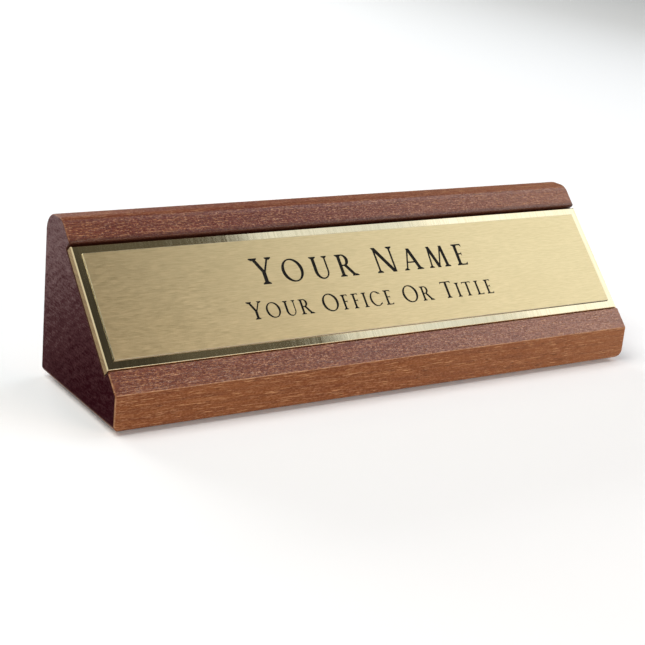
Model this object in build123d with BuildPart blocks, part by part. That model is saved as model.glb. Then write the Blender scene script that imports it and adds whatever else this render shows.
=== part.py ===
"""Desk name plaque: a wedge of solid hardwood with a channel along its sloping
face, and a two-layer engraved brass plate lying in the channel.

Frame: millimetres, origin at the centre of the base on the desk, +X along the
plaque to the reader's right, the reader on the -Y side, +Z up.
"""
from build123d import *
import math
import os

# ---- Driving sizes ---------------------------------------------------------

# Timber block, sawn from square stock
block_length = 190.0
block_depth = 50.5
block_height = 50.5
front_height = 11.0         # upright face below the slope
top_width = 11.0            # flat left along the top before the nose is rounded

# Rounding of the block's long edges, then of its ends
nose_front_round = 5.0
nose_back_round = 6.0
back_foot_round = 2.5
front_foot_round = 1.5
front_arris_round = 0.6
upper_lip_round = 0.5
lower_lip_round = 0.3
end_arris_round = 0.5
left_foot_round = 2.5       # bottom corners of the front, sanded by hand
right_foot_round = 4.0

# Channel ploughed along the slope from end to end
lower_land = 7.5
upper_land = 8.0
channel_depth = 3.1

# Fixing tape between the channel floor and the backing plate
tape_thickness = 0.3
tape_width = 9.0
tape_edge_inset = 3.0       # in from the plate's long edges
tape_end_inset = 4.0        # in from the plate's ends

# Polished backing plate
backing_thickness = 2.6
backing_end_inset = 0.15    # plate ends lie this far inside the block's ends
backing_lower_gap = 0.3
backing_upper_gap = 0.8
backing_bevel = 0.35

# Brushed face plate on its adhesive film
polished_border = 2.75      # strip of backing plate left showing all round
film_thickness = 0.1
film_inset = 0.3
face_thickness = 0.4
face_arris = 0.1

# Engraved lettering, filled with black enamel
engraving_depth = 0.25
enamel_thickness = 0.2
name_cap_height = 9.0
name_baseline = 21.2        # above the plate's lower edge, along the slope
name_tracking = 0.29        # spaces between letters, in cap heights
title_cap_height = 5.9
title_baseline = 10.1
title_tracking = 0.17
small_cap_ratio = 0.86
word_space = 0.5

# Felt pads under the block
pad_diameter = 10.0
pad_thickness = 1.0
pad_side_inset = 14.0       # pad centre to the block's front and back
pad_end_inset = 16.0        # pad centre to the block's ends

# ---- Places worked out from them -------------------------------------------

block_base = pad_thickness
block_top = block_base + block_height
slope_run = block_depth - top_width
slope_rise = block_height - front_height
slope_length = math.hypot(slope_run, slope_rise)
slope_angle = math.degrees(math.atan2(slope_rise, slope_run))

# Plane of the sloping face: local x along the plaque, local y up the slope from
# the front arris, local z out of the wood.
slope = Plane(
    origin=(0, -block_depth / 2, block_base + front_height),
    x_dir=(1, 0, 0),
    z_dir=(0, -slope_rise / slope_length, slope_run / slope_length),
)

# The nose's two roundings share the flat top, so neither may outgrow its part.
slope_turn = math.radians(slope_angle)
nose_back_radius = min(nose_back_round, 0.6 * top_width)
nose_front_room = (top_width - nose_back_radius) / math.tan(slope_turn / 2)
nose_front_radius = min(nose_front_round, 0.95 * nose_front_room)

channel_low = lower_land
channel_high = slope_length - upper_land
channel_floor = -channel_depth

backing_length = block_length - 2 * backing_end_inset
backing_low = channel_low + backing_lower_gap
backing_high = channel_high - backing_upper_gap
backing_width = backing_high - backing_low
backing_middle = (backing_high + backing_low) / 2
backing_back = channel_floor + tape_thickness
backing_front = backing_back + backing_thickness

face_length = backing_length - 2 * polished_border
face_width = backing_width - 2 * polished_border
face_back = backing_front + film_thickness
face_front = face_back + face_thickness
engraving_floor = face_front - engraving_depth

os.makedirs("parts", exist_ok=True)


# ---- Timber block ----------------------------------------------------------

def on_profile(up_slope, out_of_wood):
    """A point of the slope's own frame as (y, z) in the block's profile."""
    point = slope.from_local_coords(Vector(0, up_slope, out_of_wood))
    return (point.Y, point.Z)


# Corners of the end profile in order, each with the radius it is rounded to.
profile_corners = [
    ((-block_depth / 2, block_base), front_foot_round),
    ((block_depth / 2, block_base), back_foot_round),
    ((block_depth / 2, block_top), nose_back_radius),
    ((block_depth / 2 - top_width, block_top), nose_front_radius),
    (on_profile(channel_high, 0), upper_lip_round),
    (on_profile(channel_high, channel_floor), 0),
    (on_profile(channel_low, channel_floor), 0),
    (on_profile(channel_low, 0), lower_lip_round),
    (on_profile(0, 0), front_arris_round),
]

with BuildPart() as timber_block:
    with BuildSketch(Plane.YZ) as end_profile:
        with BuildLine():
            Polyline(*[corner for corner, _ in profile_corners], close=True)
        make_face()
        for corner, radius in profile_corners:
            if radius > 0:
                fillet(end_profile.vertices().sort_by_distance(corner)[0], radius)
    extrude(amount=block_length / 2, both=True)
    end_faces = timber_block.faces().filter_by(Axis.X).sort_by(Axis.X)
    fillet(end_faces[0].edges() + end_faces[-1].edges(), end_arris_round)
    # The bottom corners of both ends are eased more, seen from the front.
    with BuildSketch(Plane.XZ) as front_outline:
        with Locations((0, block_base)):
            Rectangle(block_length, 2 * block_height)
        with Locations((0, block_base - block_height / 2)):
            Rectangle(block_length, block_height, mode=Mode.SUBTRACT)
        low_corners = front_outline.vertices().group_by(Axis.Y)[0].sort_by(Axis.X)
        fillet(low_corners[0], left_foot_round)
        low_corners = front_outline.vertices().group_by(Axis.Y)[0].sort_by(Axis.X)
        fillet(low_corners[-1], right_foot_round)
    extrude(amount=block_depth, both=True, mode=Mode.INTERSECT)
timber_block.part.label = "timber_block"
export_step(timber_block.part, "parts/timber_block.step")


# ---- Brass plate and what holds it -----------------------------------------

def sheet_on_slope(height, length, width, middle, thickness):
    """Flat rectangular layer lying parallel to the slope, its back at height."""
    with BuildSketch(slope.offset(height)) as sheet:
        with Locations((0, middle)):
            Rectangle(length, width)
    extrude(sheet.sketch, amount=thickness)


def front_edges(layer):
    """Outer edges of a layer's front face."""
    outwards = Axis(slope.origin, slope.z_dir)
    return layer.faces().sort_by(outwards)[-1].outer_wire().edges()


tape_from_edge = tape_edge_inset + tape_width / 2

with BuildPart() as mounting_tapes:
    for strip_middle in (backing_low + tape_from_edge, backing_high - tape_from_edge):
        sheet_on_slope(
            channel_floor,
            backing_length - 2 * tape_end_inset,
            tape_width,
            strip_middle,
            tape_thickness,
        )
mounting_tapes.part.label = "mounting_tapes"
export_step(mounting_tapes.part, "parts/mounting_tapes.step")

with BuildPart() as backing_plate:
    sheet_on_slope(backing_back, backing_length, backing_width, backing_middle, backing_thickness)
    chamfer(front_edges(backing_plate), backing_bevel)
backing_plate.part.label = "backing_plate"
export_step(backing_plate.part, "parts/backing_plate.step")

with BuildPart() as face_plate_film:
    sheet_on_slope(
        backing_front,
        face_length - 2 * film_inset,
        face_width - 2 * film_inset,
        backing_middle,
        film_thickness,
    )
face_plate_film.part.label = "face_plate_film"
export_step(face_plate_film.part, "parts/face_plate_film.step")


# ---- Engraved lettering ----------------------------------------------------
# Roman capitals drawn in cap heights: y = 0 is the baseline, y = 1 the cap line.

STEM = 0.15
HAIRLINE = 0.08
ARM = 0.064
SERIF_REACH = 0.085
SERIF_SLAB = 0.042
SERIF_BRACKET = 0.10
BEAK_LENGTH = 0.15
BEAK_WIDTH = 0.075
OVERSHOOT = 0.015           # round letters run this far past both lines
BOWL_LOW = 0.47             # where the bowl of an R comes back to its stem


def stroke(foot, head, width, low=0.0, high=1.0):
    """Straight stroke cut level, its left side running from foot up to head."""
    Polygon((foot, low), (foot + width, low), (head + width, high), (head, high), align=None)


def arm(left, right, low, thickness=ARM):
    """Level stroke."""
    stroke(left, left, right - left, low, low + thickness)


def serif(left, right, line, inwards):
    """Bracketed serif on a stroke's end at the given line, tapering inwards."""
    Polygon(
        (left - SERIF_REACH, line),
        (right + SERIF_REACH, line),
        (right + SERIF_REACH, line + inwards * SERIF_SLAB),
        (right, line + inwards * SERIF_BRACKET),
        (left, line + inwards * SERIF_BRACKET),
        (left - SERIF_REACH, line + inwards * SERIF_SLAB),
        align=None,
    )


def foot_serif(left, width):
    serif(left, left + width, 0, 1)


def head_serif(left, width):
    serif(left, left + width, 1, -1)


def stem(left, width=STEM):
    """Upright stroke with a serif at both ends."""
    stroke(left, left, width)
    foot_serif(left, width)
    head_serif(left, width)


def beak(tip, line, inwards, towards):
    """Pointed end of an arm: a wedge from the line, slanting back along the arm."""
    Polygon(
        (tip, line),
        (tip + towards * BEAK_WIDTH / 4, line + inwards * BEAK_LENGTH),
        (tip - towards * BEAK_WIDTH, line + inwards * ARM),
        (tip - towards * BEAK_WIDTH, line),
        align=None,
    )


def half_ring(outer_middle, outer_radii, inner_middle, inner_radii, start_angle):
    """Half of an elliptical ring, running half a turn from the start angle."""
    with BuildLine() as outline:
        outer = EllipticalCenterArc(outer_middle, *outer_radii, start_angle, arc_size=180)
        inner = EllipticalCenterArc(inner_middle, *inner_radii, start_angle, arc_size=180)
        Line(outer @ 0, inner @ 0)
        Line(outer @ 1, inner @ 1)
    make_face(outline.edges())


def ring(middle, radii, wall, tilt):
    """Closed ring, thick at its sides and thin where its axis leans."""
    with Locations(middle):
        Ellipse(*radii)
        Ellipse(radii[0] - wall, radii[1] - ARM, rotation=tilt, mode=Mode.SUBTRACT)


def letter_a():
    stroke(0.07, 0.41, HAIRLINE)
    stroke(0.70, 0.36, STEM * 1.15)
    arm(0.22, 0.70, 0.33)
    foot_serif(0.07, HAIRLINE)
    foot_serif(0.70, STEM * 1.15)


def letter_c():
    ring((0.47, 0.5), (0.45, 0.5 + OVERSHOOT), STEM, 8)
    with Locations((0.92, 0.5)):
        Rectangle(0.46, 0.64, mode=Mode.SUBTRACT)
        Rectangle(0.20, 1.2, mode=Mode.SUBTRACT)
    beak(0.82, 0.90, -1, 1)
    beak(0.82, 0.10, 1, 1)


def letter_e():
    stem(0.11)
    arm(0.11, 0.50, 1 - ARM)
    arm(0.11, 0.42, 0.5)
    arm(0.11, 0.53, 0)
    beak(0.52, 1, -1, 1)
    beak(0.56, 0, 1, 1)
    arm(0.40, 0.43, 0.44, 0.17)


def letter_f():
    stem(0.11)
    arm(0.11, 0.48, 1 - ARM)
    arm(0.11, 0.42, 0.5)
    beak(0.50, 1, -1, 1)
    arm(0.40, 0.43, 0.44, 0.17)


def letter_i():
    stem(0.11)


def letter_l():
    stem(0.11)
    arm(0.11, 0.53, 0)
    beak(0.56, 0, 1, 1)


def letter_m():
    stroke(0.11, 0.19, HAIRLINE)
    stroke(0.46, 0.15, STEM * 1.1)
    stroke(0.49, 0.84, HAIRLINE)
    stroke(0.90, 0.81, STEM)
    foot_serif(0.11, HAIRLINE)
    foot_serif(0.90, STEM)


def letter_n():
    stroke(0.14, 0.14, HAIRLINE)
    stroke(0.72, 0.08, STEM * 1.15)
    stroke(0.80, 0.80, HAIRLINE)
    foot_serif(0.14, HAIRLINE)
    head_serif(0.80, HAIRLINE)


def letter_o():
    ring((0.51, 0.5), (0.49, 0.5 + OVERSHOOT), STEM, 10)


def letter_r():
    stem(0.11)
    arm(0.11, 0.34, 1 - ARM)
    arm(0.11, 0.34, BOWL_LOW)
    bowl_rise = (1 - BOWL_LOW) / 2
    bowl_middle = (0.34, 1 - bowl_rise)
    half_ring(bowl_middle, (0.27, bowl_rise), bowl_middle, (0.27 - STEM, bowl_rise - ARM), -90)
    stroke(0.66, 0.29, STEM * 1.15, 0, BOWL_LOW + ARM)
    foot_serif(0.68, STEM)


def letter_t():
    stem_left = 0.34
    stroke(stem_left, stem_left, STEM)
    foot_serif(stem_left, STEM)
    arm(0.06, 0.75, 1 - ARM)
    beak(0.06, 1, -1, -1)
    beak(0.75, 1, -1, 1)


def letter_u():
    turn = 0.34             # where the uprights run into the round
    stroke(0.13, 0.13, STEM, turn, 1)
    stroke(0.72, 0.72, HAIRLINE, turn, 1)
    head_serif(0.13, STEM)
    head_serif(0.72, HAIRLINE)
    outer_left, outer_right = 0.13, 0.72 + HAIRLINE
    inner_left, inner_right = 0.13 + STEM, 0.72
    half_ring(
        ((outer_left + outer_right) / 2, turn),
        ((outer_right - outer_left) / 2, turn + OVERSHOOT),
        ((inner_left + inner_right) / 2, turn),
        ((inner_right - inner_left) / 2, turn + OVERSHOOT - ARM),
        180,
    )


def letter_y():
    fork = 0.46             # height at which the two arms join the stem
    stem_left = 0.34
    stroke(stem_left, stem_left, STEM, 0, fork)
    foot_serif(stem_left, STEM)
    stroke(stem_left, 0.05, STEM, fork, 1)
    stroke(stem_left + STEM - HAIRLINE, 0.67, HAIRLINE, fork, 1)
    head_serif(0.05, STEM)
    head_serif(0.67, HAIRLINE)


# Each letter's drawing and its width, in cap heights
letters = {
    "A": (letter_a, 0.90),
    "C": (letter_c, 0.88),
    "E": (letter_e, 0.62),
    "F": (letter_f, 0.56),
    "I": (letter_i, 0.34),
    "L": (letter_l, 0.60),
    "M": (letter_m, 1.12),
    "N": (letter_n, 0.94),
    "O": (letter_o, 1.02),
    "R": (letter_r, 0.84),
    "T": (letter_t, 0.81),
    "U": (letter_u, 0.90),
    "Y": (letter_y, 0.80),
}


def set_line(words, cap_height, baseline, tracking):
    """Set a centred line: the first letter of a word full size, the rest smaller."""
    placed = []
    cursor = 0.0
    for word in words:
        for index, character in enumerate(word):
            size = cap_height if index == 0 else cap_height * small_cap_ratio
            placed.append((letters[character][0], size, cursor))
            cursor += letters[character][1] * size + tracking * cap_height
        cursor += word_space * cap_height
    line_width = cursor - (tracking + word_space) * cap_height
    for draw_letter, size, left in placed:
        with BuildSketch(mode=Mode.PRIVATE) as letter:
            draw_letter()
        with Locations((left - line_width / 2, baseline)):
            add(scale(letter.sketch, by=size, mode=Mode.PRIVATE))


with BuildSketch(slope.offset(engraving_floor)) as name_line:
    set_line(["YOUR", "NAME"], name_cap_height, backing_low + name_baseline, name_tracking)

with BuildSketch(slope.offset(engraving_floor)) as title_line:
    set_line(
        ["YOUR", "OFFICE", "OR", "TITLE"],
        title_cap_height,
        backing_low + title_baseline,
        title_tracking,
    )

with BuildPart() as face_plate:
    sheet_on_slope(face_back, face_length, face_width, backing_middle, face_thickness)
    chamfer(front_edges(face_plate), face_arris)
    extrude(name_line.sketch, amount=engraving_depth, mode=Mode.SUBTRACT)
    extrude(title_line.sketch, amount=engraving_depth, mode=Mode.SUBTRACT)
face_plate.part.label = "face_plate"
export_step(face_plate.part, "parts/face_plate.step")

with BuildPart() as name_enamel:
    extrude(name_line.sketch, amount=enamel_thickness)
name_enamel.part.label = "name_enamel"
export_step(name_enamel.part, "parts/name_enamel.step")

with BuildPart() as title_enamel:
    extrude(title_line.sketch, amount=enamel_thickness)
title_enamel.part.label = "title_enamel"
export_step(title_enamel.part, "parts/title_enamel.step")


# ---- Felt pads -------------------------------------------------------------

pad_pitch_x = block_length - 2 * pad_end_inset
pad_pitch_y = block_depth - 2 * pad_side_inset

with BuildPart() as felt_pads:
    with BuildSketch(Plane.XY):
        with GridLocations(pad_pitch_x, pad_pitch_y, 2, 2):
            Circle(pad_diameter / 2)
    extrude(amount=pad_thickness)
felt_pads.part.label = "felt_pads"
export_step(felt_pads.part, "parts/felt_pads.step")
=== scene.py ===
import bpy
import math
from mathutils import Matrix, Quaternion, Vector


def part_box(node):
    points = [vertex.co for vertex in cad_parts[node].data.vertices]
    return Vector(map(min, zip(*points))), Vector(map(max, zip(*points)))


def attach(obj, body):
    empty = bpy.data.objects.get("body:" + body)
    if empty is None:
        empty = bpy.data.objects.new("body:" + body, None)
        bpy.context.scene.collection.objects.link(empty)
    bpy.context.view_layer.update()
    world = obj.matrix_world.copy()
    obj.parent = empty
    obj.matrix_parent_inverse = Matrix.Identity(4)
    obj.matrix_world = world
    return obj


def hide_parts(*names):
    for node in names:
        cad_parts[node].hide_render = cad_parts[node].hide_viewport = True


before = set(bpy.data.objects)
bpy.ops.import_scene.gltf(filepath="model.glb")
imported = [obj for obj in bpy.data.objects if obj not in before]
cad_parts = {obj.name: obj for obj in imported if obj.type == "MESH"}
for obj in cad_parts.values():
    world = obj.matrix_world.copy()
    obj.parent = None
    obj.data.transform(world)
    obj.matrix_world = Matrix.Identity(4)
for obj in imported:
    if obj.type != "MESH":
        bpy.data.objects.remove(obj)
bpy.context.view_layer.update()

# ============================================================================
# Timber block
# One solid wedge of red-brown hardwood, sawn from square stock with the grain
# along its length. The nose is rounded and the arrises are eased by hand, then
# it is oiled; the sloping face is rubbed up brighter than the front and ends.
# ============================================================================

GRAIN_TILT = math.radians(1.2)          # the grain runs out slightly along the block
GRAIN_TURN = (0, GRAIN_TILT, GRAIN_TILT / 2)
HEART_Y, HEART_Z = -0.045, -0.075       # where the tree's heart lay, seen on the end
RING_SPACING = 0.0027
RING_WANDER = 0.010                     # how far a ring strays from a true circle
SAW_MARK_TILT = math.radians(-38)

WARM_BROWN = (0.258, 0.091, 0.028, 1)
# painted light: the board's colour towards its right end
PAINTED_LIGHT_BROWN = (0.45, 0.215, 0.095, 1)
RED_BROWN = (0.160, 0.038, 0.024, 1)
DEEP_RED = (0.105, 0.016, 0.008, 1)
DARK_BROWN = (0.095, 0.026, 0.014, 1)
PORE_PALE = (0.60, 0.32, 0.15, 1)
PORE_DARK = (0.060, 0.017, 0.010, 1)
SANDED_AND_HIGHLIT_PALE = (0.54, 0.31, 0.165, 1)    # where the oil is rubbed off the arrises, and painted highlight along them
# painted shade for the channel's walls and its upper lip
CHANNEL_PAINTED_SHADE = (0.045, 0.012, 0.008, 1)
# painted shade towards the ends' bottom front, painted sheen towards their top back
END_DARK = (0.028, 0.0045, 0.0075, 1)
END_MID = (0.076, 0.031, 0.034, 1)
END_PAINTED_SHEEN = (0.205, 0.130, 0.130, 1)

SLOPE_OUT = (0, -0.7071, 0.7071)            # square out of the sloping face
FRONT_ARRIS_OUT = (0, -0.9239, 0.3827)      # halfway from the front to the slope

# The channel is set out from the front arris: up the slope, and down into it.
FRONT_HEIGHT = 0.011
SLOPE_RISE = 0.0395
LOWER_LAND = 0.0075
UPPER_LAND = 0.0080
CHANNEL_FOOT = LOWER_LAND
CHANNEL_HEAD = SLOPE_RISE * math.sqrt(2) - UPPER_LAND
CHANNEL_DEPTH = 0.0031
block_low, block_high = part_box("timber_block")
FRONT_Y = block_low.y
ARRIS_Z = block_low.z + FRONT_HEIGHT


def new_finish(name):
    """A material with an empty node tree but for its shader and output."""
    finish = bpy.data.materials.new(name)
    finish.use_nodes = True
    tree = finish.node_tree
    return finish, tree, tree.nodes["Principled BSDF"]


def add_node(tree, kind, inputs=None, **settings):
    """A node of this kind; inputs are linked if sockets, or else set."""
    node = tree.nodes.new(kind)
    for key, value in settings.items():
        setattr(node, key, value)
    for key, value in (inputs or {}).items():
        if isinstance(value, bpy.types.NodeSocket):
            tree.links.new(value, node.inputs[key])
        else:
            node.inputs[key].default_value = value
    return node


def object_place(tree, scale=(1, 1, 1), turn=(0, 0, 0), shift=(0, 0, 0)):
    """Object coordinates, moved, turned and scaled to suit a pattern."""
    source = add_node(tree, "ShaderNodeTexCoord").outputs["Object"]
    return add_node(
        tree, "ShaderNodeMapping",
        {"Vector": source, "Location": shift, "Rotation": turn, "Scale": scale},
    ).outputs["Vector"]


def along_grain(tree, length, breadth, shift=(0, 0, 0)):
    """Coordinates in which one unit is this long and this broad, in metres."""
    return object_place(tree, (1 / length, 1 / breadth, 1 / breadth), GRAIN_TURN, shift)


def noise(tree, place, detail=2.0, roughness=0.5, distortion=0.0):
    return add_node(
        tree, "ShaderNodeTexNoise",
        {"Vector": place, "Scale": 1.0, "Detail": detail,
         "Roughness": roughness, "Distortion": distortion},
    ).outputs["Fac"]


def remap(tree, value, low, high, to_low=0.0, to_high=1.0):
    """Stretch the span low..high of a value over to_low..to_high, clamped."""
    return add_node(
        tree, "ShaderNodeMapRange",
        {"Value": value, "From Min": low, "From Max": high,
         "To Min": to_low, "To Max": to_high},
    ).outputs["Result"]


def maths(tree, operation, first, second=0.0):
    return add_node(
        tree, "ShaderNodeMath", {0: first, 1: second}, operation=operation
    ).outputs[0]


def plus(tree, first, second):
    return maths(tree, "ADD", first, second)


def less(tree, first, second):
    return maths(tree, "SUBTRACT", first, second)


def times(tree, first, second):
    return maths(tree, "MULTIPLY", first, second)


def blend(tree, factor, first, second):
    """Mix two colours: all of the first at 0, all of the second at 1."""
    return add_node(
        tree, "ShaderNodeMix", {0: factor, 6: first, 7: second}, data_type="RGBA"
    ).outputs[2]


def bump(tree, height, strength, distance, under=None):
    """Relief in the shading, laid over the relief under it if there is any."""
    inputs = {"Height": height, "Strength": strength, "Distance": distance}
    if under is not None:
        inputs["Normal"] = under
    return add_node(tree, "ShaderNodeBump", inputs).outputs["Normal"]


def facing(tree, towards, low, high):
    """How far the surface faces a direction: 0 below one cosine, 1 above the other."""
    normal = add_node(tree, "ShaderNodeTexCoord").outputs["Normal"]
    cosine = add_node(
        tree, "ShaderNodeVectorMath", {0: normal, 1: towards}, operation="DOT_PRODUCT"
    ).outputs["Value"]
    return remap(tree, cosine, low, high)


def growth_rings(tree, place):
    """Distance from the tree's heart, and the rings: bands on the faces, arcs on the ends."""
    swirl = noise(tree, along_grain(tree, 0.060, 0.020, (2, 2, 9)))
    from_heart_y = less(tree, place["Y"], HEART_Y)
    from_heart_z = less(tree, place["Z"], HEART_Z)
    radius_squared = plus(
        tree,
        times(tree, from_heart_y, from_heart_y),
        times(tree, from_heart_z, from_heart_z),
    )
    radius = maths(tree, "SQRT", radius_squared)
    wandering = plus(tree, radius, times(tree, swirl, RING_WANDER))
    phase = times(tree, wandering, 2 * math.pi / RING_SPACING)
    return radius, remap(tree, maths(tree, "SINE", phase), -1.0, 1.0)


def board_colour(tree, along, radius, ring, speckle, slope_face, upper_land):
    """Broad drifts of tone, long soft streaks, then a fine speckle of fibres."""
    drift = noise(tree, along_grain(tree, 0.075, 0.012))
    streak = noise(tree, along_grain(tree, 0.0160, 0.00070, (5, 3, 1)), 3.0, 0.6)
    ribbon = noise(
        tree, object_place(tree, (210, 420, 420), (0, 0.5, 0.6), (2, 5, 3)), 2.0, 0.5, 0.8
    )

    # Redder away from the heart and on the slope, reddest on the upper land.
    redder = plus(
        tree,
        remap(tree, radius, 0.086, 0.130, 0.0, 0.55),
        remap(tree, drift, 0.30, 0.70, 0.0, 0.30),
    )
    redder = plus(tree, redder, times(tree, slope_face, 0.45))
    colour = blend(tree, redder, WARM_BROWN, RED_BROWN)
    colour = blend(tree, times(tree, upper_land, 0.42), colour, DEEP_RED)

    colour = blend(tree, remap(tree, ring, 0.50, 1.0, 0.0, 0.20), colour, DARK_BROWN)
    colour = blend(tree, remap(tree, streak, 0.48, 0.72, 0.0, 0.45), colour, DARK_BROWN)
    colour = blend(tree, remap(tree, streak, 0.46, 0.26, 0.0, 0.22), colour, PORE_PALE)

    # The speckle shows less on the front and ends than on the rubbed-up slope.
    contrast = plus(tree, 0.40, times(tree, slope_face, 0.60))
    darker = times(tree, remap(tree, speckle, 0.50, 0.66), contrast)
    paler = times(tree, remap(tree, speckle, 0.48, 0.32, 0.0, 0.55), contrast)
    colour = blend(tree, times(tree, darker, 0.85), colour, DARK_BROWN)
    colour = blend(tree, paler, colour, PORE_PALE)
    ribbon_dark = times(tree, remap(tree, ribbon, 0.50, 0.66, 0.0, 0.22), slope_face)
    colour = blend(tree, ribbon_dark, colour, DARK_BROWN)

    # Painted light: the board is paler towards its right end, standing in for the stronger
    # light there.
    return blend(tree, remap(tree, along, -0.02, 0.10, 0.0, 0.26), colour, PAINTED_LIGHT_BROWN)


def in_channel(tree, up_slope, out_of_slope, margin, lip):
    """1 inside the channel, widened by a margin, below this depth under its lips."""
    foot, head = CHANNEL_FOOT - margin, CHANNEL_HEAD + margin
    across = times(
        tree,
        remap(tree, up_slope, foot, foot + 0.0002),
        remap(tree, up_slope, head, head - 0.0002),
    )
    deep = times(
        tree,
        remap(tree, out_of_slope, lip, lip - 0.0003),
        remap(tree, out_of_slope, -CHANNEL_DEPTH - 0.0008, -CHANNEL_DEPTH - 0.0004),
    )
    return times(tree, across, deep)


def sanded_and_highlit_arrises(tree, endways, inward, up_slope, out_of_slope):
    """Where arrises are sanded back to paler wood, with painted highlight: in patches, most at
    the front.
    """
    front_arris = facing(tree, FRONT_ARRIS_OUT, 0.965, 0.985)
    end_arris = times(
        tree, remap(tree, endways, 0.05, 0.35), remap(tree, endways, 0.97, 0.75)
    )
    outside = less(tree, 1.0, in_channel(tree, up_slope, out_of_slope, 0.0008, 0.0004))
    outside = times(tree, outside, remap(tree, inward, 0.012, 0.003, 0.25, 1.0))
    end_arris = times(tree, end_arris, outside)
    patchy = noise(tree, along_grain(tree, 0.0040, 0.0012, (8, 8, 2)))
    return times(
        tree,
        maths(tree, "MAXIMUM", front_arris, end_arris),
        remap(tree, patchy, 0.30, 0.62, 0.15, 0.75),
    )


def channel_painted_shade(tree, up_slope, out_of_slope):
    """Painted shade: darker on the channel's walls and about its upper lip."""
    walls = times(tree, in_channel(tree, up_slope, out_of_slope, 0.0004, -0.0002), 0.85)
    lip = times(
        tree,
        remap(tree, up_slope, CHANNEL_HEAD - 0.0006, CHANNEL_HEAD - 0.0002),
        remap(tree, up_slope, CHANNEL_HEAD + 0.0018, CHANNEL_HEAD + 0.0003, 0.0, 0.85),
    )
    lip = times(tree, lip, remap(tree, out_of_slope, -0.0010, -0.0005))
    return maths(tree, "MAXIMUM", walls, lip)


def end_colour(tree, radius, ring):
    """The ends drink more oil: dark and mottled. Painted shade: darker towards the heart, which
    lies below the front foot, so darker towards the bottom front; painted sheen: paler towards
    the top back.
    """
    speck = noise(tree, object_place(tree, (900, 2300, 2300)), 2.0, 0.7)
    mottle = noise(tree, object_place(tree, (200, 210, 330), (0.6, 0, 0)), 3.0, 0.6, 0.6)
    saw_marks = noise(
        tree, object_place(tree, (200, 260, 2100), (SAW_MARK_TILT, 0, 0)), 2.0, 0.6
    )
    # Painted shade and sheen: the tone follows the distance from the heart, darkest at the
    # bottom front.
    tone = times(tree, remap(tree, radius, 0.090, 0.134), 0.78)
    for layer in (
        remap(tree, mottle, 0.30, 0.70, -0.04, 0.12),
        remap(tree, saw_marks, 0.34, 0.66, -0.12, 0.14),
        remap(tree, speck, 0.34, 0.66, -0.18, 0.22),
        remap(tree, ring, 0.0, 1.0, 0.05, -0.05),
    ):
        tone = plus(tree, tone, layer)
    colour = blend(tree, remap(tree, tone, 0.0, 0.5), END_DARK, END_MID)
    return blend(tree, remap(tree, tone, 0.5, 1.0), colour, END_PAINTED_SHEEN)


def oiled_hardwood():
    finish, tree, shader = new_finish("oiled_hardwood")
    coordinates = add_node(tree, "ShaderNodeTexCoord").outputs
    place = add_node(tree, "ShaderNodeSeparateXYZ", {0: coordinates["Object"]}).outputs
    normal = add_node(tree, "ShaderNodeSeparateXYZ", {0: coordinates["Normal"]}).outputs
    slope_face = facing(tree, SLOPE_OUT, 0.93, 0.98)
    endways = maths(tree, "ABSOLUTE", normal["X"])
    end_grain = remap(tree, endways, 0.80, 0.97)

    # Where a point lies as the channel is cut: how far out of the slope, how far up it.
    height = less(tree, place["Z"], ARRIS_Z)
    inward = less(tree, place["Y"], FRONT_Y)
    out_of_slope = times(tree, less(tree, height, inward), math.sqrt(0.5))
    up_slope = times(tree, plus(tree, height, inward), math.sqrt(0.5))
    upper_land = times(tree, remap(tree, up_slope, 0.040, 0.048), slope_face)

    radius, ring = growth_rings(tree, place)
    speckle = noise(tree, along_grain(tree, 0.00085, 0.00034, (1, 7, 4)), 2.0, 0.7)
    colour = board_colour(tree, place["X"], radius, ring, speckle, slope_face, upper_land)

    # Open pores: short pale and dark dashes along the grain.
    pale_noise = noise(tree, along_grain(tree, 0.0046, 0.00017, (9, 2, 5)), 1.0)
    dark_noise = noise(tree, along_grain(tree, 0.0040, 0.00022, (4, 8, 1)), 1.0)
    pale_pore = remap(tree, pale_noise, 0.650, 0.69)
    dark_pore = remap(tree, dark_noise, 0.655, 0.72)
    dashes = times(tree, pale_pore, remap(tree, slope_face, 0.0, 1.0, 0.95, 0.60))
    colour = blend(tree, dashes, colour, PORE_PALE)
    colour = blend(tree, times(tree, dark_pore, 0.60), colour, PORE_DARK)

    # Sanded wear and painted highlight along the arrises.
    worn_and_highlit = sanded_and_highlit_arrises(tree, endways, inward, up_slope, out_of_slope)
    colour = blend(tree, worn_and_highlit, colour, SANDED_AND_HIGHLIT_PALE)
    # Painted shade in the channel and along its upper lip.
    colour = blend(tree, channel_painted_shade(tree, up_slope, out_of_slope), colour, CHANNEL_PAINTED_SHADE)
    colour = blend(tree, end_grain, colour, end_colour(tree, radius, ring))
    tree.links.new(colour, shader.inputs["Base Color"])

    # The slope shines, less on its upper land; the thirsty ends don't shine at all.
    gloss = plus(tree, 0.14, times(tree, slope_face, 0.71))
    gloss = times(tree, gloss, remap(tree, upper_land, 0.0, 1.0, 1.15, 0.62))
    gloss = times(tree, gloss, remap(tree, speckle, 0.36, 0.64, 1.5, 0.5))
    gloss = times(tree, gloss, less(tree, 1.0, end_grain))
    tree.links.new(gloss, shader.inputs["Specular IOR Level"])
    rough = remap(tree, speckle, 0.30, 0.70, 0.44, 0.60)
    rough = less(tree, rough, times(tree, slope_face, 0.24))
    tree.links.new(rough, shader.inputs["Roughness"])

    # Fine relief of fibres and pores over the slow waves that hand sanding leaves.
    pores = maths(tree, "MAXIMUM", pale_pore, dark_pore)
    relief = less(tree, speckle, times(tree, pores, 0.8))
    grained = bump(tree, relief, 0.60, 0.00007)
    handled = noise(tree, object_place(tree, (55, 90, 90)))
    tree.links.new(bump(tree, handled, 0.10, 0.0006, grained), shader.inputs["Normal"])
    return finish


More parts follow.
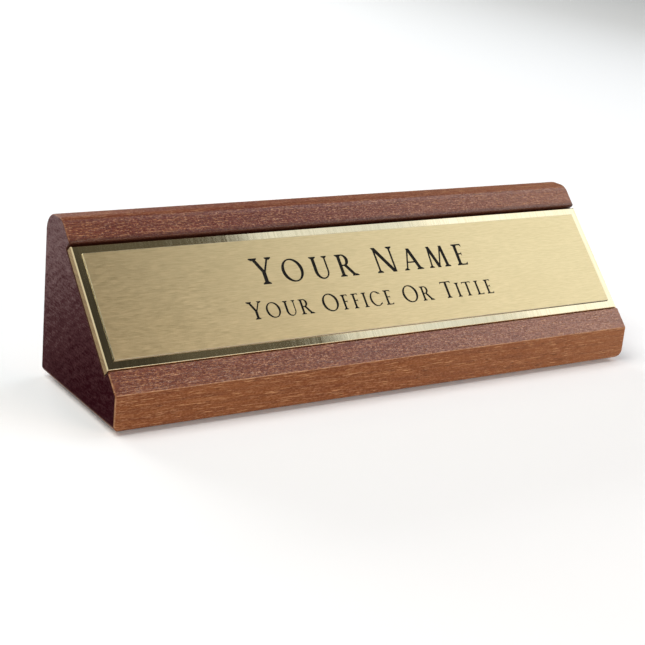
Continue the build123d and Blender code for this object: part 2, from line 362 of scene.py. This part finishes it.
def set_finish(piece, finish):
    """Give a piece one finish all over."""
    piece.data.materials.clear()
    piece.data.materials.append(finish)


set_finish(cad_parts["timber_block"], oiled_hardwood())

# ============================================================================
# Mounting tapes
# Two strips of thin double-sided foam tape pressed on the channel floor. They
# hold the backing plate and stop short of its ends, so it hides them.
# ============================================================================

FOAM_SHADE = (0.62, 0.55, 0.42, 1)
FOAM_LIGHT = (0.80, 0.74, 0.62, 1)


def foam_tape():
    finish, tree, shader = new_finish("foam_tape")
    cells = noise(tree, object_place(tree, (3200, 3200, 3200)))
    colour = blend(tree, remap(tree, cells, 0.35, 0.65), FOAM_SHADE, FOAM_LIGHT)
    tree.links.new(colour, shader.inputs["Base Color"])
    shader.inputs["Roughness"].default_value = 0.8
    tree.links.new(bump(tree, cells, 0.5, 0.00005), shader.inputs["Normal"])
    return finish


set_finish(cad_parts["mounting_tapes"], foam_tape())

# ============================================================================
# Backing plate
# Rolled brass, guillotined to size and mirror polished on its face, which is
# left showing as a border. The cut edges are only filed, so they stay dull.
# ============================================================================

SLOPE_TURN = (math.radians(-45), 0, 0)      # turns a pattern to lie along the slope
POLISHED_BRASS = (0.865, 0.76, 0.515, 1)
POLISHED_BRASS_WARM = (0.83, 0.705, 0.45, 1)
LAPPED_BRASS = (0.46, 0.38, 0.21, 1)
FILED_BRASS = (0.33, 0.215, 0.085, 1)
FILED_BRASS_DARK = (0.20, 0.125, 0.045, 1)
LAP_PITCH = (1500, 60, 60)                  # fine across the length, long up the slope


def polished_brass():
    finish, tree, shader = new_finish("polished_brass")
    shader.inputs["Metallic"].default_value = 1.0
    haze = noise(tree, object_place(tree, (70, 70, 70), SLOPE_TURN), 3.0)
    face = blend(tree, remap(tree, haze, 0.3, 0.7), POLISHED_BRASS, POLISHED_BRASS_WARM)
    stripes = noise(tree, object_place(tree, LAP_PITCH, SLOPE_TURN, (1, 6, 2)), 3.0, 0.7)
    face = blend(tree, remap(tree, stripes, 0.45, 0.65, 0.0, 0.22), face, LAPPED_BRASS)
    filed = noise(tree, object_place(tree, (2600, 90, 2600)), 3.0, 0.6)
    edge = blend(tree, remap(tree, filed, 0.35, 0.65), FILED_BRASS, FILED_BRASS_DARK)
    on_face = facing(tree, SLOPE_OUT, 0.60, 0.66)
    tree.links.new(blend(tree, on_face, edge, face), shader.inputs["Base Color"])

    # Lapping marks run up and down the slope and smear the reflections.
    lapping = noise(tree, object_place(tree, LAP_PITCH, SLOPE_TURN), 3.0, 0.7)
    smear = remap(tree, lapping, 0.35, 0.70, 0.05, 0.12)
    dull = times(tree, less(tree, 1.0, on_face), 0.34)
    tree.links.new(plus(tree, smear, dull), shader.inputs["Roughness"])
    tree.links.new(bump(tree, lapping, 0.06, 0.00002), shader.inputs["Normal"])
    return finish


set_finish(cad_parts["backing_plate"], polished_brass())

# ============================================================================
# Face plate film
# A clear sheet of transfer adhesive between the two plates, a little smaller
# than the face plate so that none squeezes out.
# ============================================================================

FILM_SHADE = (0.50, 0.44, 0.32, 1)
FILM_LIGHT = (0.62, 0.56, 0.42, 1)


def adhesive_film():
    finish, tree, shader = new_finish("adhesive_film")
    ripples = noise(tree, object_place(tree, (900, 900, 900)))
    colour = blend(tree, remap(tree, ripples, 0.35, 0.65), FILM_SHADE, FILM_LIGHT)
    tree.links.new(colour, shader.inputs["Base Color"])
    shader.inputs["Roughness"].default_value = 0.35
    return finish


set_finish(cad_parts["face_plate_film"], adhesive_film())

# ============================================================================
# Face plate
# Thin brass brushed along its length, so that highlights spread up and down the
# slope. Its letters are cut by machine; its lower edge is painted dark as shade.
# ============================================================================

LOWER_EDGE_OUT = (0, -0.7071, -0.7071)      # square out of the plate's lower edge
BRUSHED_BRASS = (0.755, 0.640, 0.365, 1)
BRUSHED_BRASS_DEEP = (0.630, 0.525, 0.275, 1)
CUT_BRASS = (0.44, 0.42, 0.32, 1)
LOWER_EDGE_PAINTED_SHADE = (0.05, 0.06, 0.05, 1)     # painted shade on the plate's lower edge


def brushed_brass():
    finish, tree, shader = new_finish("brushed_brass")
    shader.inputs["Metallic"].default_value = 1.0
    shader.inputs["Anisotropic"].default_value = 0.7
    tangent = add_node(tree, "ShaderNodeTangent", direction_type="RADIAL", axis="X")
    tree.links.new(tangent.outputs[0], shader.inputs["Tangent"])
    brush = noise(tree, object_place(tree, (300, 3800, 3800), SLOPE_TURN), 3.0, 0.65)
    long_brush = noise(
        tree, object_place(tree, (45, 2600, 2600), SLOPE_TURN, (3, 0, 1)), 3.0, 0.6
    )
    cloud = noise(tree, object_place(tree, (30, 75, 75), SLOPE_TURN))
    colour = blend(tree, remap(tree, brush, 0.34, 0.66), BRUSHED_BRASS_DEEP, BRUSHED_BRASS)
    colour = blend(tree, remap(tree, long_brush, 0.35, 0.65, 0.0, 0.35), colour, BRUSHED_BRASS)
    colour = blend(tree, remap(tree, cloud, 0.35, 0.65, 0.0, 0.22), colour, BRUSHED_BRASS_DEEP)
    on_face = facing(tree, SLOPE_OUT, 0.90, 0.97)
    # Painted shade: the plate's lower edge is made dark.
    shaded_low_edge = facing(tree, LOWER_EDGE_OUT, 0.85, 0.95)
    edge = blend(tree, shaded_low_edge, CUT_BRASS, LOWER_EDGE_PAINTED_SHADE)
    tree.links.new(blend(tree, on_face, edge, colour), shader.inputs["Base Color"])
    tree.links.new(remap(tree, brush, 0.3, 0.7, 0.29, 0.38), shader.inputs["Roughness"])
    scratch = plus(tree, brush, times(tree, long_brush, 0.6))
    tree.links.new(bump(tree, scratch, 0.30, 0.00002), shader.inputs["Normal"])
    return finish


set_finish(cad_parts["face_plate"], brushed_brass())

# ============================================================================
# Enamel
# Black stoving enamel wiped into the engraved letters and baked, lying just
# below the face of the plate with a slightly gritty, nearly matt skin.
# ============================================================================

ENAMEL_BLACK = (0.004, 0.0035, 0.003, 1)
ENAMEL_GRIT = (0.011, 0.010, 0.008, 1)


def black_enamel():
    finish, tree, shader = new_finish("black_enamel")
    grit = noise(tree, object_place(tree, (5000, 5000, 5000)), 3.0)
    colour = blend(tree, remap(tree, grit, 0.35, 0.7), ENAMEL_BLACK, ENAMEL_GRIT)
    tree.links.new(colour, shader.inputs["Base Color"])
    tree.links.new(remap(tree, grit, 0.3, 0.7, 0.55, 0.72), shader.inputs["Roughness"])
    shader.inputs["Specular IOR Level"].default_value = 0.15
    tree.links.new(bump(tree, grit, 0.3, 0.00002), shader.inputs["Normal"])
    return finish


enamel = black_enamel()
for line in ("name_enamel", "title_enamel"):
    set_finish(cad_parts[line], enamel)

# ============================================================================
# Felt pads
# Four self-adhesive discs punched from green wool felt, stuck under the block
# near its corners. Punching leaves the rim fuzzy with short loose fibres.
# ============================================================================

PAD_RADIUS = 0.005
FUZZ_ROOM = 0.00028             # the rim is drawn in by this much to leave room for fuzz
PAD_SIDES = 72
PAD_PROFILE = (                 # how far out and how far up, from underside to top
    (0.55, 0.0), (0.955, 0.0), (0.99, 0.07), (1.0, 0.2), (1.0, 0.4),
    (1.0, 0.6), (1.0, 0.8), (0.99, 0.93), (0.955, 1.0), (0.55, 1.0),
)
RIM_WAVES = 5                   # shallow waves that punching leaves round the rim
RIM_WAVE_DEPTH = 0.006
FIBRES_PER_SQUARE_METRE = 3.6e7
FIBRE_LENGTH = 0.00026
FIBRE_THICKNESS = 0.000016
FUZZY_SHARE = 0.25              # share of the thickness that is fuzzy, each way from mid-height
FELT_LIGHT = (0.030, 0.095, 0.052, 1)
FELT_DARK = (0.010, 0.036, 0.020, 1)


def green_felt():
    finish, tree, shader = new_finish("green_felt")
    fluff = noise(tree, object_place(tree, (2600, 2600, 2600)), 4.0, 0.7)
    tufts = noise(tree, object_place(tree, (700, 700, 700)))
    colour = blend(tree, remap(tree, fluff, 0.3, 0.7), FELT_DARK, FELT_LIGHT)
    colour = blend(tree, remap(tree, tufts, 0.35, 0.65, 0.0, 0.4), colour, FELT_DARK)
    tree.links.new(colour, shader.inputs["Base Color"])
    shader.inputs["Roughness"].default_value = 0.95
    shader.inputs["Specular IOR Level"].default_value = 0.1
    tree.links.new(bump(tree, fluff, 0.8, 0.00015), shader.inputs["Normal"])
    return finish


def pad_discs(low, high):
    """Four soft discs in the corners of this box, rims rounded and uneven."""
    radius = PAD_RADIUS - FUZZ_ROOM
    thickness = high.z - low.z
    corners, faces = [], []
    for middle_x in (low.x + PAD_RADIUS, high.x - PAD_RADIUS):
        for middle_y in (low.y + PAD_RADIUS, high.y - PAD_RADIUS):
            bottom = len(corners)
            corners.append((middle_x, middle_y, low.z))
            for out, up in PAD_PROFILE:
                for side in range(PAD_SIDES):
                    turn = 2 * math.pi * side / PAD_SIDES
                    wave = 1 + math.sin(RIM_WAVES * turn + 40 * middle_x)
                    reach = radius * out * (1 - RIM_WAVE_DEPTH * wave)
                    corners.append((middle_x + reach * math.cos(turn),
                                    middle_y + reach * math.sin(turn),
                                    low.z + thickness * up))
            top = len(corners)
            corners.append((middle_x, middle_y, high.z))
            first_ring, last_ring = bottom + 1, top - PAD_SIDES
            for side in range(PAD_SIDES):
                beside = (side + 1) % PAD_SIDES
                faces.append((bottom, first_ring + beside, first_ring + side))
                for here in range(first_ring, last_ring, PAD_SIDES):
                    above = here + PAD_SIDES
                    faces.append((here + side, here + beside, above + beside, above + side))
                faces.append((top, last_ring + side, last_ring + beside))
    mesh = bpy.data.meshes.new("felt_discs")
    mesh.from_pydata(corners, [], faces)
    mesh.shade_smooth()
    return mesh


def fuzz_tree(finish):
    """Geometry nodes that stand short fibres on the rims of the discs."""
    tree = bpy.data.node_groups.new("felt_fuzz", "GeometryNodeTree")
    sockets = tree.interface
    sockets.new_socket("Discs", in_out="INPUT", socket_type="NodeSocketGeometry")
    for label in ("Fibres per square metre", "Length", "Thickness", "Rim middle", "Rim reach"):
        sockets.new_socket(label, in_out="INPUT", socket_type="NodeSocketFloat")
    sockets.new_socket("Seed", in_out="INPUT", socket_type="NodeSocketInt")
    sockets.new_socket("Felt", in_out="OUTPUT", socket_type="NodeSocketGeometry")
    given = tree.nodes.new("NodeGroupInput").outputs

    position = tree.nodes.new("GeometryNodeInputPosition").outputs[0]
    place = add_node(tree, "ShaderNodeSeparateXYZ", {0: position}).outputs
    off_middle = maths(tree, "ABSOLUTE", less(tree, place["Z"], given["Rim middle"]))
    rim_only = add_node(
        tree, "FunctionNodeCompare", {0: off_middle, 1: given["Rim reach"]},
        data_type="FLOAT", operation="LESS_THAN",
    )
    points = add_node(
        tree, "GeometryNodeDistributePointsOnFaces",
        {"Mesh": given["Discs"], "Density": given["Fibres per square metre"],
         "Selection": rim_only.outputs[0], "Seed": given["Seed"]},
    )

    # Each fibre leans a little, turns about itself and has its own length.
    fibre = add_node(
        tree, "GeometryNodeMeshCone",
        {"Vertices": 3, "Radius Bottom": given["Thickness"], "Depth": given["Length"]},
    )
    lean = add_node(
        tree, "FunctionNodeRandomValue",
        {0: (-0.4, -0.4, 0.0), 1: (0.4, 0.4, 6.28), "Seed": given["Seed"]},
        data_type="FLOAT_VECTOR",
    )
    stand = add_node(
        tree, "FunctionNodeRotateRotation",
        {0: points.outputs["Rotation"], 1: lean.outputs[0]}, rotation_space="LOCAL",
    )
    size = add_node(
        tree, "FunctionNodeRandomValue",
        {2: 0.45, 3: 1.0, "Seed": given["Seed"]}, data_type="FLOAT",
    )
    fuzz = add_node(
        tree, "GeometryNodeInstanceOnPoints",
        {"Points": points.outputs["Points"], "Instance": fibre.outputs["Mesh"],
         "Rotation": stand.outputs[0], "Scale": size.outputs[1]},
    )
    loose = add_node(tree, "GeometryNodeRealizeInstances", {0: fuzz.outputs["Instances"]})
    joined = tree.nodes.new("GeometryNodeJoinGeometry")
    tree.links.new(given["Discs"], joined.inputs[0])
    tree.links.new(loose.outputs[0], joined.inputs[0])
    coloured = add_node(tree, "GeometryNodeSetMaterial", {"Geometry": joined.outputs[0]})
    coloured.inputs["Material"].default_value = finish
    out = tree.nodes.new("NodeGroupOutput")
    tree.links.new(coloured.outputs[0], out.inputs["Felt"])
    return tree


felt_finish = green_felt()
pads_low, pads_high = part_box("felt_pads")
discs = bpy.data.objects.new("felt_discs", pad_discs(pads_low, pads_high))
bpy.context.scene.collection.objects.link(discs)
fuzzing = discs.modifiers.new("fuzz", "NODES")
fuzzing.node_group = fuzz_tree(felt_finish)
wanted = {
    "Fibres per square metre": FIBRES_PER_SQUARE_METRE,
    "Length": FIBRE_LENGTH,
    "Thickness": FIBRE_THICKNESS,
    "Rim middle": (pads_low.z + pads_high.z) / 2,
    "Rim reach": FUZZY_SHARE * (pads_high.z - pads_low.z),
    "Seed": 7,
}
for item in fuzzing.node_group.interface.items_tree:
    if item.in_out == "INPUT" and item.name in wanted:
        fuzzing[item.identifier] = wanted[item.name]
settled = discs.evaluated_get(bpy.context.evaluated_depsgraph_get())
felt_mesh = bpy.data.meshes.new_from_object(settled)
discs.modifiers.remove(fuzzing)
discs.data = felt_mesh
discs.name = "fuzzy_felt_pads"
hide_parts("felt_pads")
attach(discs, "root")
set_finish(discs, felt_finish)

# ============================================================================
# Studio
# A pale round floor whose rim sweeps up into a low wall, soft lights standing
# round the plaque, and the camera.
# ============================================================================

FLOOR_LEVEL = -0.00003          # a hair under the pads, which press into it
FLOOR_REACH = 3.0
FLOOR_RISE = 0.9
FLOOR_SIDES = 96
SWEEP_STEPS = 12


def pale_floor():
    finish, _, shader = new_finish("pale_floor")
    shader.inputs["Base Color"].default_value = (0.93, 0.95, 0.965, 1)
    shader.inputs["Emission Color"].default_value = (0.75, 0.93, 1.0, 1)
    shader.inputs["Emission Strength"].default_value = 0.085
    shader.inputs["Roughness"].default_value = 0.9
    shader.inputs["Specular IOR Level"].default_value = 0.1
    return finish


def floor_sweep():
    """A round floor whose rim curves up into a low wall."""
    profile = [(FLOOR_REACH, FLOOR_LEVEL)]
    for step in range(1, SWEEP_STEPS + 1):
        turn = math.radians(90 * step / SWEEP_STEPS)
        profile.append((FLOOR_REACH + FLOOR_RISE * math.sin(turn),
                        FLOOR_LEVEL + FLOOR_RISE * (1 - math.cos(turn))))
    corners = [(0, 0, FLOOR_LEVEL)]
    faces = []
    for row, (reach, height) in enumerate(profile):
        for side in range(FLOOR_SIDES):
            angle = 2 * math.pi * side / FLOOR_SIDES
            corners.append((reach * math.cos(angle), reach * math.sin(angle), height))
            here = 1 + row * FLOOR_SIDES + side
            beside = 1 + row * FLOOR_SIDES + (side + 1) % FLOOR_SIDES
            if row == 0:
                faces.append((0, here, beside))
            else:
                faces.append((here - FLOOR_SIDES, here, beside, beside - FLOOR_SIDES))
    mesh = bpy.data.meshes.new("floor")
    mesh.from_pydata(corners, [], faces)
    mesh.shade_smooth()
    floor = bpy.data.objects.new("floor", mesh)
    bpy.context.scene.collection.objects.link(floor)
    floor.data.materials.append(pale_floor())


floor_sweep()


def direction(azimuth, elevation):
    """Unit vector: azimuth from the reader's side towards +X, in degrees."""
    a, e = math.radians(azimuth), math.radians(elevation)
    return Vector((math.cos(e) * math.sin(a), -math.cos(e) * math.cos(a), math.sin(e)))


def softbox(name, place, aim, width, height, radiance, colour, lean=0.0):
    """A rectangular soft light that looks this bright from in front of it."""
    light = bpy.data.lights.new(name, "AREA")
    light.shape = "RECTANGLE"
    light.size, light.size_y = width, height
    light.energy = radiance * math.pi * width * height
    light.color = colour
    lamp = bpy.data.objects.new(name, light)
    lamp.location = place
    turn = (-aim).to_track_quat("Z", "Y") @ Quaternion((0, 0, 1), math.radians(lean))
    lamp.rotation_euler = turn.to_euler()
    bpy.context.scene.collection.objects.link(lamp)


# The big softbox on the right leans, and its near edge ends the bright part of
# the polished border's reflection. The core light makes that brighter inside,
# and the faint spill light carries a warm glow past its edge.
KEY_LEAN = -15.0
key_side = direction(95, 0)
softbox("key_right", key_side * 0.9 + Vector((0, 0, 1.25)), -key_side,
        width=1.4, height=1.8, radiance=0.97, colour=(0.84, 0.92, 1.04), lean=KEY_LEAN)
core_side = direction(98, 0)
softbox("key_core", core_side * 0.92 + Vector((0, 0, 1.10)), -core_side,
        width=1.1, height=1.5, radiance=0.50, colour=(1.0, 0.99, 1.0), lean=KEY_LEAN)
spill_side = direction(55.5, 54)
softbox("key_spill", spill_side * 1.3, -spill_side,
        width=0.24, height=0.8, radiance=0.06, colour=(1.0, 0.90, 0.68), lean=KEY_LEAN)

# The rest light the floor, the front and left end, and the back.
softbox("top_left", Vector((-0.7, 0.1, 1.5)), Vector((0.42, -0.06, -0.9)),
        width=1.2, height=1.2, radiance=3.9, colour=(1.0, 0.97, 0.92))
front_side = direction(26, 20)
softbox("front_fill", front_side * 1.4, -front_side,
        width=0.9, height=0.5, radiance=6.6, colour=(1.0, 0.76, 0.66))
left_side = direction(-94, 36)
softbox("left_card", left_side * 0.75, -left_side,
        width=0.34, height=0.24, radiance=0.72, colour=(1.0, 0.96, 0.88))
back_side = direction(-175, 17)
softbox("back_rim", back_side * 1.6, -back_side,
        width=1.1, height=0.5, radiance=10.0, colour=(1.0, 0.99, 0.98))

world = bpy.data.worlds.new("studio")
bpy.context.scene.world = world
world.use_nodes = True
background = world.node_tree.nodes["Background"]
background.inputs["Color"].default_value = (1.0, 0.93, 0.78, 1)
background.inputs["Strength"].default_value = 0.05

# Camera: where it stands is given from the block's own base centre.
VIEW_AZIMUTH = -34.33       # turned from square-on towards the plaque's left end
VIEW_ELEVATION = 18.33
VIEW_ROLL = math.radians(-5.44)
VIEW_DISTANCE = 0.4854
BASE_RIGHT_OF_AXIS = 0.00874
BASE_BELOW_AXIS = 0.01339
LENS_TO_SENSOR = 2.3438     # focal length over the picture's width
SENSOR = 36.0

base_centre = Vector(
    ((block_low.x + block_high.x) / 2, (block_low.y + block_high.y) / 2, block_low.z)
)
forward = -direction(VIEW_AZIMUTH, VIEW_ELEVATION)
level_right = forward.cross(Vector((0, 0, 1))).normalized()
level_up = level_right.cross(forward)
right = math.cos(VIEW_ROLL) * level_right - math.sin(VIEW_ROLL) * level_up
up = math.sin(VIEW_ROLL) * level_right + math.cos(VIEW_ROLL) * level_up

camera_data = bpy.data.cameras.new("camera")
camera_data.sensor_width = SENSOR
camera_data.lens = SENSOR * LENS_TO_SENSOR
camera_data.clip_start = 0.01
camera = bpy.data.objects.new("camera", camera_data)
camera.location = (
    base_centre - forward * VIEW_DISTANCE - right * BASE_RIGHT_OF_AXIS + up * BASE_BELOW_AXIS
)
camera.rotation_euler = Matrix((right, up, -forward)).transposed().to_euler()
bpy.context.scene.collection.objects.link(camera)
bpy.context.scene.camera = camera
bpy.context.scene.view_settings.view_transform = "Standard"
